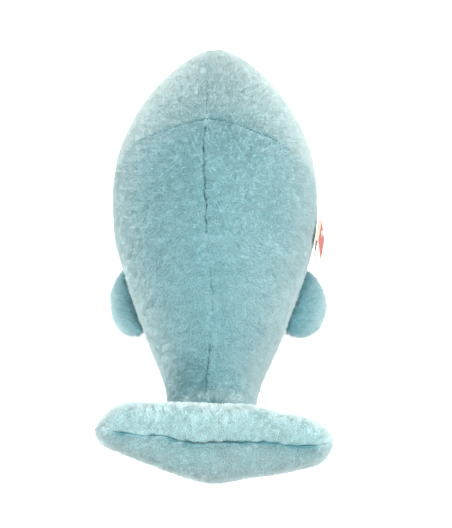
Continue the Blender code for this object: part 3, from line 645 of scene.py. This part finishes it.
def makePanel(name, part, side, node, seed):
    # outer side = body surface + normal * (lumps - depth of the ground - pull of the seams); inner side =
    # outer side - normal * thickness; the pile lies back along the body, and over a closed top seam
    look = panels[part]
    along, around = panelGrid(part, side)
    points = bodySurface(along, around)
    across = lengths(points, 1)
    shown, room, pull = panelSeams(part, side, along, points, across, lengths(points, 0))
    small = np.clip(halfWidth(along) / body["full"], body["least"], 1)  # all of it shrinks towards the nose
    mirror = np.array((side, 1, 1))
    normals, place = gridNormals(points) * mirror, points * mirror
    tuck = body["rightTuck"] * eased(np.clip((along - body["tuckFrom"]) / body["tuckOver"], 0, 1))
    place[..., 0] = np.where(place[..., 0] < 0, 1 - tuck, 1) * place[..., 0]
    swell = cloth["lump"] * lumps(place, cloth["bodySeed"]) - cloth["below"]
    outer = place + normals * ((swell - pull) * small)[..., None]
    inner = outer - normals * (cloth["thickness"] * small)[..., None]
    for grid, least in zip((outer, inner), cloth["offFloor"]):
        grid[..., 2] = np.maximum(grid[..., 2], least)
    # painted shade on the patches (painted light where their share is below 0), and beside the seams where
    # they stand open
    paintedShade = paintedShadeAt(outer) + pile["seamShade"] * np.exp(-room / pile["seamShadeReach"])
    piece = makeShell(name, outer, inner, "body", look["ground"], paintedShade, side < 0)
    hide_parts(node)
    closing = pile["closing"] * (1 - pile["parted"] * shown) * np.exp(-across / pile["closingReach"])
    nap = unit(np.gradient(place, axis=0)) - closing[..., None] * unit(np.gradient(place, axis=1))
    room = np.where(eyeDistance(outer) < -pile["underEye"], 0, room)
    surface = {"points": outer, "normals": normals, "nap": nap, "room": room, "paintedShade": paintedShade}
    growPile(name.replace("Plush", "Pile"), surface, "body", look["strands"], seed,
             look["density"], look["calm"])


# The fluke and the flippers: two panels round an outline, with fibre between.
pillow = {
    "outlineSteps": 4001,
    "firstRow": .01,  # share of the way from the middle to the rim
    "rimInset": .0018,  # the ground of a pillow stops this far inside its outline
    "least": .0001,  # half thickness at the rim
    "strays": .0012,  # the seam strays this far up and down, on the outer third of the way to the rim
    "straying": ((1, .011, 4), (.8, .004, 5)),
    "strayFull": .02,  # half thickness from which it strays all the way
    "strayLeast": .2,
    "seamFull": .010,  # half thickness from which the seam has its full size
    "seamLeast": .35,
    "swellReach": .004,  # lumps fade this near the seam
    "hem": (.7, .3),  # shares of the cloth's thickness inwards and towards the middle
    "nap": .8,
    "coreShares": (.05, .4, .7, .9, .99),  # rings of the fibre, from the middle to its rim
    "corePlan": .8,
    "coreHeight": .65,
    "coreLeast": .0004,
}
fluke = {
    "span": .167, "chord": .077, "thickness": .0596, "sweep": .033, "angle": 61.0, "shift": -.0009,
    "tipPower": 2.2, "power": 5.0, "grid": (300, 60), "seed": 31,
    # as it has settled: share of the half span (left is above 0), lift of the seam, thickness above and below
    "settled": ((-1, -.0002, .0186, .0222), (-.8, -.0032, .0226, .0172), (-.55, -.0019, .0220, .0203),
                (-.3, -.0005, .0247, .0248), (0, -.0014, .0266, .0278), (.3, .0004, .0250, .0242),
                (.55, .0032, .0229, .0194), (.8, .0045, .0236, .0154), (1, .0055, .0165, .0165)),
    "seamPull": 1.5,
    "seamUneven": (.35, .008, 77),
    "seamEnds": (.89, .09),  # the seam closes towards the tips: share where it ends, and over which it does
    "seamLeast": .15,
    "underSeam": .3,  # painted shade below the seam, and a little painted shade on the whole lower panel, which faces away from the light
    "underReach": .009,
    "under": .17,
    # painted shade along the seam, broken by a noise, up to its most
    "seamShade": .85,
    "seamShadeReach": .0016,
    "seamBroken": (.9, .005, 78),
    "seamShadeMost": 1.4,
    "hang": 1.1,  # how far the pile hangs over the seam
    "hangShares": (1.1, .7),  # of that where the seam is closed, and less where it is open
    "hangUneven": (.5, .005, 79),
    "crease": (-.0035, .0024, .003, .02),  # fold under the seam: place, depth, half width and reach
}
flipper = {
    "front": -.022, "back": .042, "reach": .0290, "root": .012, "thickness": .018,
    "corner": .12,  # share of the reach that the blunt corners of the root take
    "cornerPower": .4, "rootPower": .35, "fullAt": .55, "power": 3.0, "grid": (130, 34), "seed": 51,
    "rootShadeReach": .8,  # share of the reach over which the painted shade at the root fades out
    # droop in degrees, share of the reach, place further back, painted shade at the root, where the body
    # shades it
    "left": {"droop": 53, "reach": 1.0, "back": .003, "shadeShare": .6},
    "right": {"droop": 40, "reach": 1.19, "back": .001, "shadeShare": .8},
}


def makeFibre(name, rings, rides, node, flip=False):
    # a closed tube: each ring joined to the next, the first and the last to their own middles
    rows, columns = rings.shape[:2]
    ring = np.arange(columns)
    following = (ring + 1) % columns
    last, ends = (rows - 1) * columns, np.stack((rings[0].mean(0), rings[-1].mean(0)))
    near = np.stack((np.full(columns, rows * columns), following, ring), -1)
    far = np.stack((np.full(columns, rows * columns + 1), ring + last, following + last), -1)
    faces = wound([gridFaces(rows, columns, closed=True), near, far], flip)
    points = np.concatenate((rings.reshape(-1, 3), ends))
    piece = addPiece(name, points, faces, rides, fill)
    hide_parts(node)


filling = {"from": .05, "to": .915, "rows": 90, "columns": 96, "inside": .0065, "offFloor": .004}


def makeBodyFilling():  # body surface - normal * the depth at which the fibre starts
    along = np.linspace(filling["from"], filling["to"], filling["rows"])[:, None]
    around = np.linspace(0, 2 * math.pi, filling["columns"], endpoint=False)[None, :]
    points = bodySurface(along, around)
    normals = gridNormals(np.concatenate((points, points[:, :2]), 1))[:, :-2]
    rings = points - normals * filling["inside"]
    rings[..., 2] = np.maximum(rings[..., 2], filling["offFloor"])
    makeFibre("bodyFibre", rings, "body", "body_stuffing")


def evenTurns(outline, count):  # angles at even distances along the outline, read off a fine polygon
    turn = np.linspace(0, 2 * math.pi, pillow["outlineSteps"])
    far = np.concatenate(([0], np.cumsum(np.linalg.norm(np.diff(outline(turn), axis=0), axis=1))))
    return np.interp(np.linspace(0, far[-1], count, endpoint=False), far, turn)


def placed(axes, flat):  # origin + the first two numbers along the plan's axes + the third one up
    origin, first, second, up = axes
    return origin + flat[..., :1] * first + flat[..., 1:2] * second + flat[..., 2:] * up


def pillowFaces(rows, columns):
    # outer side, inner side, a fan in the middle of each, and a quad for each step round the rim
    count, last = rows * columns, (rows - 1) * columns
    ring = np.arange(columns)
    following = (ring + 1) % columns
    top, under = np.full(columns, 2 * count), np.full(columns, 2 * count + 1)
    grids = [gridFaces(rows, columns, True)[:, ::-1], gridFaces(rows, columns, True, count)]
    fans = [np.stack((top, ring, following), -1), np.stack((under, following + count, ring + count), -1)]
    rim = np.stack((ring, ring + count, following + count, following), -1) + last
    return [*grids, *fans, rim]


def makePillow(label, shape):
    # Height = half thickness * root of (1 - share ** power), with share 0 in the middle and 1 at the rim; the
    # seam strays by noises. Outer side = that + normal * (lumps - depth of the ground - crease) + inwards *
    # pull of the seam. The pillow rides on the body of its own name.
    seed, axes, half = shape["seed"], shape["axes"], shape["half"]
    origin, first, second, up = axes
    columns, rows = (int(n * gridShare) for n in shape["grid"])
    rim = shape["outline"](evenTurns(shape["outline"], columns))
    middle = rim.mean(0)
    inwards = unit(middle - rim)
    rim = rim + inwards * pillow["rimInset"]
    share = (1 - (1 - np.linspace(pillow["firstRow"], 1, rows)) ** 2)[:, None]  # close together at the rim
    plan = middle + share[..., None] * (rim - middle)
    inwards = inwards[:, :1] * first + inwards[:, 1:] * second
    thick = half(plan, 1)
    stray = pillow["strays"] * np.clip(share * 3 - 2, 0, 1) ** 2
    stray = stray * np.clip(thick / pillow["strayFull"], pillow["strayLeast"], 1)
    small = np.clip(thick / pillow["seamFull"], pillow["seamLeast"], 1)
    for side, word in ((1, "top"), (-1, "bottom")):
        dome = np.sqrt(np.clip(1 - share ** shape["power"], 0, 1))
        height = pillow["least"] + (half(plan, side) - pillow["least"]) * dome
        flat = np.concatenate((plan, side * height[..., None]), -1)
        line = np.broadcast_to(origin + rim[:, :1] * first + rim[:, 1:] * second, flat.shape)
        flat[..., 2] += stray * withNoise(0, line, pillow["straying"], seed)
        points = shape["settle"](placed(axes, flat), flat)
        normals = gridNormals(np.concatenate((points[:, -1:], points, points[:, :1]), 1))[:, 1:-1]
        outwards = np.sign((normals[0] @ (up * side)).mean())
        normals = normals * outwards
        down = lengths(points, 0)
        room = down[-1:] - down
        marks = shape["marks"](flat, line, room, side)
        swell = cloth["lump"] * lumps(points, seed) - cloth["below"] * small - marks["crease"]
        outer = points + normals * swell[..., None] * np.clip(room / pillow["swellReach"], 0, 1)[..., None]
        outer = outer + inwards[None] * (seamPull(room, points) * small * marks["shown"])[..., None]
        inside, aside = (part * cloth["thickness"] for part in pillow["hem"])
        inner = outer - normals * inside + inwards[None] * aside
        ends = (outer[0].mean(0)[None], inner[0].mean(0)[None])
        allPoints = np.concatenate((outer.reshape(-1, 3), inner.reshape(-1, 3), *ends))
        values = {"paintedShade": np.concatenate((np.tile(marks["paintedShade"].ravel(), 2), (0, 0)))}
        faces = wound(pillowFaces(rows, columns), outwards > 0)
        piece = addPiece(f"{label}_{word}Plush", allPoints, faces, label, shape["ground"], values)
        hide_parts(shape["nodes"][side])
        over = (marks["hang"] * np.exp(-room / pile["closingReach"]))[..., None]
        surface = {"points": outer, "normals": normals, "nap": pillow["nap"] * second - over * inwards,
                   "room": np.where(marks["bare"], 0, room / np.minimum(marks["shown"], 1)),
                   "paintedShade": marks["paintedShade"]}
        surface = {key: np.concatenate((grid, grid[:, :1]), 1) for key, grid in surface.items()}
        growPile(f"{label}_{word}Pile", surface, label, shape["strands"], seed + side)
    makePillowFibre(label, shape, middle, rim)
    print(label, "done")


def makePillowFibre(label, shape, middle, rim):
    # rings at shares of the plan, there and back: height = half thickness * root of (1 - share ** 4)
    shares = np.array(pillow["coreShares"] + pillow["coreShares"][::-1])[:, None]
    sign = np.repeat((1, -1), len(pillow["coreShares"]))[:, None]
    height = shape["half"](rim, 1) * pillow["coreHeight"] * np.sqrt(1 - shares ** 4)
    height = sign * np.maximum(height, pillow["coreLeast"])
    plan = middle + shares[..., None] * pillow["corePlan"] * (rim - middle)
    core = np.concatenate((plan, height[..., None]), -1)
    _, first, second, up = shape["axes"]
    flip = np.dot(np.cross(first, second), up) > 0
    rings = shape["settle"](placed(shape["axes"], core), core)
    makeFibre(f"{label}_fibre", rings, label, shape["nodes"][0], flip)


def flukeOutline(turn):
    # x = half span * cosine; y = middle + sweep * cosine ** power, and to each side of it half the chord *
    # root of (1 - that power squared)
    share = np.cos(turn)
    spread = np.abs(share) ** fluke["tipPower"]
    middle = fluke["chord"] / 2 - fluke["thickness"] / 2 + fluke["sweep"] * spread
    reach = np.sign(np.sin(turn)) * fluke["chord"] / 2 * np.sqrt(1 - spread ** 2)
    return np.stack((fluke["span"] / 2 * share, middle + reach), -1)


def flukeHalf(plan, side):  # stations of the thickness above or below the seam, over the half span
    return stations(fluke["settled"], 2 if side > 0 else 3, plan[..., 0] / (fluke["span"] / 2))


def flukeSettle(points, flat):  # + up * the stations of the seam's lift, + a shift of the whole to one side
    lift = stations(fluke["settled"], 1, flat[..., 0] / (fluke["span"] / 2))
    angle = math.radians(fluke["angle"])
    up = np.array((0, -math.sin(angle), math.cos(angle)))
    return points + lift[..., None] * up + np.array((fluke["shift"], 0, 0))


def flukeMarks(flat, line, room, side):
    # crease = depth * exp(-(x / half width) squared) * exp(-room / reach); shown = a ramp down at the tips *
    # (1 + noise); painted shade that falls off from the seam, with more under it and on the lower panel; hang
    # = more where the seam is closed + noise; bare where the tail holds the fluke
    across = flat * (1, 0, 0)
    place, depth, wide, reach = fluke["crease"]
    crease = depth * np.exp(-((flat[..., 0] - place) / wide) ** 2) * np.exp(-room / reach)
    end, over = fluke["seamEnds"]
    shown = np.clip((end - np.abs(flat[..., 0]) / (fluke["span"] / 2)) / over, fluke["seamLeast"], 1)
    shown = shown * fluke["seamPull"] * withNoise(1, across, [fluke["seamUneven"]])
    opening = np.minimum(shown, 1)
    room = room / opening
    broken = np.clip(withNoise(1, across, [fluke["seamBroken"]]), 0, fluke["seamShadeMost"])
    # painted shade under the seam and on the lower panel, then beside the seam
    paintedShade = (fluke["underSeam"] * np.exp(-room / fluke["underReach"]) + fluke["under"]) * (side < 0)
    paintedShade = (paintedShade + fluke["seamShade"] * broken * np.exp(-room / fluke["seamShadeReach"])) * opening
    bare = (np.abs(flat[..., 0]) < tail["covers"][0]) & (flat[..., 1] < tail["covers"][1])
    closed, less = fluke["hangShares"]
    hang = fluke["hang"] * withNoise(closed - less * opening, line, [fluke["hangUneven"]])
    return {"crease": crease, "shown": shown, "paintedShade": paintedShade, "bare": bare, "hang": hang}


def makeFluke():  # a pillow whose plan is turned up by its angle about the hinge line
    angle = math.radians(fluke["angle"])
    first, chord = np.array((1.0, 0, 0)), np.array((0, math.cos(angle), math.sin(angle)))
    makePillow("fluke", {
        "axes": (np.array((0, *tail["hinge"])), first, chord, np.cross(first, chord)),
        "outline": flukeOutline, "half": flukeHalf, "settle": flukeSettle, "marks": flukeMarks,
        "power": fluke["power"], "grid": fluke["grid"], "seed": fluke["seed"],
        "ground": flukeGround, "strands": flukePile,
        "nodes": {1: "fluke_top_panel", -1: "fluke_bottom_panel", 0: "fluke_stuffing"}})


def flipperOutline(turn):
    # half an ellipse on a root with blunt corners: out = corner + (1 - corner) * sine, on the root's side
    # corner * (1 - sine ** power); along = middle + half length * cosine, on the root's side to a power
    side, up = np.cos(turn), np.sin(turn)
    corner = flipper["corner"]
    root = corner * (1 - np.abs(up) ** flipper["cornerPower"])
    share = np.where(up > 0, corner + (1 - corner) * np.abs(up), root)
    long = np.sign(side) * np.abs(side) ** np.where(up > 0, 1, flipper["rootPower"])
    half = (flipper["back"] - flipper["front"]) / 2
    return np.stack((flipper["front"] + half * (1 + long), flipper["reach"] * share), -1)


def flipperHalf(plan, side):  # half of the root's thickness, eased to the full one; both sides are the same
    share = np.clip(plan[..., 1] / (flipper["fullAt"] * flipper["reach"]), 0, 1)
    return (flipper["root"] + (flipper["thickness"] - flipper["root"]) * eased(share)) / 2


def makeFlipper(side, word):
    # a pillow whose plan runs back along its joint's axis and out square to that, lowered by the droop
    own, joint = flipper[word], joints[f"flipper_{word}_flop"]
    axis = unit(np.array(joint["axis"], float))
    back = -axis if axis[1] < 0 else axis
    droop = math.radians(own["droop"])
    out = np.array((math.cos(droop), 0, -math.sin(droop))) * (side, 1, 1)
    out = unit(out - back * np.dot(out, back))
    up = unit(np.cross(out, back))
    up = up if up[2] > 0 else -up

    def settle(points, flat):  # pulled out of the body: + out * how far out it is * (share of the reach - 1)
        return points + (own["reach"] - 1) * np.maximum(flat[..., 1:2], 0) * out

    def marks(flat, line, room, side):  # no crease, an even seam; painted shade = its share * a ramp to 0 from the root
        ramp = np.clip(1 - flat[..., 1] / (flipper["rootShadeReach"] * flipper["reach"]), 0, 1)
        return {"crease": 0, "shown": 1, "paintedShade": own["shadeShare"] * ramp, "bare": False, "hang": 0 * room}

    makePillow(f"flipper_{word}", {
        "axes": (np.array(joint["pos_m"], float) + own["back"] * back, back, out, up),
        "outline": flipperOutline, "half": flipperHalf, "settle": settle, "marks": marks,
        "power": flipper["power"], "grid": flipper["grid"], "seed": flipper["seed"] + side,
        "ground": tealGround, "strands": flipperPile,
        "nodes": {1: f"flipper_{word}_top_panel", -1: f"flipper_{word}_bottom_panel",
                  0: f"flipper_{word}_stuffing"}})


for word, side in sides:
    seed = {"left": 75, "right": 74}[word]
    makePanel(f"headPlush_{word}", "head", side, f"head_panel_{word}", seed)
    makePanel(f"backPlush_{word}", "back", side, f"back_panel_{word}", seed)
makePanel("bellyPlush", "belly", 1, "belly_panel", 71)
print("body panels done")
makeBodyFilling()
makeFluke()
for word, side in sides:
    makeFlipper(side, word)


# eyes, washers, tag


def plainMaterial(name, fixed, colour, scale, amount):
    # colour * (1 - amount to 1 by a noise), and a roughness that the same noise makes up to .06 higher
    shader = Shader(name, fixed)
    mottle = shader.noise(scale, Detail=3.0)
    shader.feed(Base_Color=shader.blend(mottle, darkened(colour, 1 - amount), colour),
                Roughness=mottle * .06 + fixed["Roughness"])
    return shader.material


eyeLook = {"Roughness": .1, "Specular IOR Level": .16, "Coat Weight": .08}
eyeBlack = plainMaterial("eyeBlack", eyeLook, (.006, .006, .007), 300.0, .3)
washerWhite = plainMaterial("washerWhite", {"Roughness": .4}, (.8, .8, .77), 200.0, .08)
clearLook = {"Roughness": .15, "Transmission Weight": .7}
clearPlastic = plainMaterial("clearPlastic", clearLook, (.93, .94, .95), 400.0, .03)


def dress(node, materialOf):  # every slot of a solid gets the material
    for slot in frame["nodes"][node].material_slots:
        slot.material = materialOf


for word, side in sides:
    dress(f"eye_{word}", eyeBlack)
    dress(f"eye_washer_{word}", washerWhite)
dress("tag_fastener", clearPlastic)
card = {"red": (.30, .095, .08), "cream": (.44, .39, .31), "half": .011, "border": .0013, "top": .005,
        "bottom": -.024, "sharpness": 8000.0}


def cardMaterial():
    # cream where less than the border is left to an edge: the least of the distances to sides, top and bottom
    shader = Shader("tagCard", {"Roughness": .7, "Specular IOR Level": .05})
    joint, place = joints["tag_swing"], shader.place()
    wide = np.cross((0, 0, 1), unit(np.array(joint["axis"], float)))
    across = shader.add("ShaderNodeVectorMath", {"operation": "DOT_PRODUCT"}, {0: place, 1: tuple(wide)}, 1)
    across = across - float(np.dot(wide, joint["pos_m"]))
    high = shader.add("ShaderNodeSeparateXYZ", {}, {0: place}, 2) - joint["pos_m"][2]
    side = card["half"] - shader.maths("ABSOLUTE", across)
    ends = shader.maths("MINIMUM", card["top"] - high, high - card["bottom"])
    left = shader.maths("MINIMUM", side, ends)
    inside = ((left - card["border"]) * card["sharpness"]).clipped()
    shader.feed(Base_Color=shader.blend(inside, card["cream"], card["red"]))
    return shader.material


dress("tag_card", cardMaterial())
print("hard pieces dressed")

# Floor, lights and camera. A light has a place, an aim, a size and a power.
stageLook = {
    "floor": (.93, .93, .93), "glow": .5, "reach": 3, "world": 1.72,
    "key": ((-.3, -.5, 1.4), (0, 0, .05), .8, 15.0),
    "rightLight": ((-.45, .6, 1.1), (0, .03, .06), .6, 5.0),
    "leftLight": ((1.1, .15, .35), (0, 0, .07), .5, 5.0),
}
view = {"elevation": 55.0, "distance": 1.422, "target": (0.0, .0083, .0533), "aim": (-.0092, .0201, .0450),
        "lens": 121.2, "sensor": 36, "roll": 1.1}


def show(name, data):  # a new object of the scene
    shownObject = bpy.data.objects.new(name, data)
    bpy.context.scene.collection.objects.link(shownObject)
    return shownObject


def areaLight(name, place, aim, size, power):  # a disk at the place, turned to the aim
    light = bpy.data.lights.new(name, "AREA")
    light.shape, light.size, light.energy = "DISK", size, power
    lamp = show(name, light)
    lamp.location = place
    lamp.rotation_mode = "QUATERNION"
    lamp.rotation_quaternion = (Vector(aim) - Vector(place)).to_track_quat("-Z", "Y")


floorLook = {"Roughness": .9, "Emission Color": (1, 1, 1, 1), "Emission Strength": stageLook["glow"]}
floorMesh = bpy.data.meshes.new("floor")
far = stageLook["reach"]
floorMesh.from_pydata([(-far, -far, 0), (far, -far, 0), (far, far, 0), (-far, far, 0)], [], [(0, 1, 2, 3)])
floorMesh.materials.append(plainMaterial("paperFloor", floorLook, stageLook["floor"], 3.0, .01))
floor = show("floor", floorMesh)

world = bpy.data.worlds.new("studio")
world.use_nodes = True
world.node_tree.nodes["Background"].inputs["Color"].default_value = (1, 1, 1, 1)
world.node_tree.nodes["Background"].inputs["Strength"].default_value = stageLook["world"]
bpy.context.scene.world = world
for name in ("key", "rightLight", "leftLight"):
    areaLight(name, *stageLook[name])

elevation = math.radians(view["elevation"])
camera = show("camera", bpy.data.cameras.new("camera"))
camera.data.lens, camera.data.sensor_width = view["lens"], view["sensor"]
camera.location = (Vector(view["target"])
                   + Vector((0, math.cos(elevation), math.sin(elevation))) * view["distance"])
camera.rotation_mode = "QUATERNION"
look = (Vector(view["aim"]) - camera.location).to_track_quat("-Z", "Y")
camera.rotation_quaternion = look @ Matrix.Rotation(math.radians(view["roll"]), 3, "Z").to_quaternion()
bpy.context.scene.camera = camera
bpy.context.scene.view_settings.view_transform = "Standard"
print("stage set")
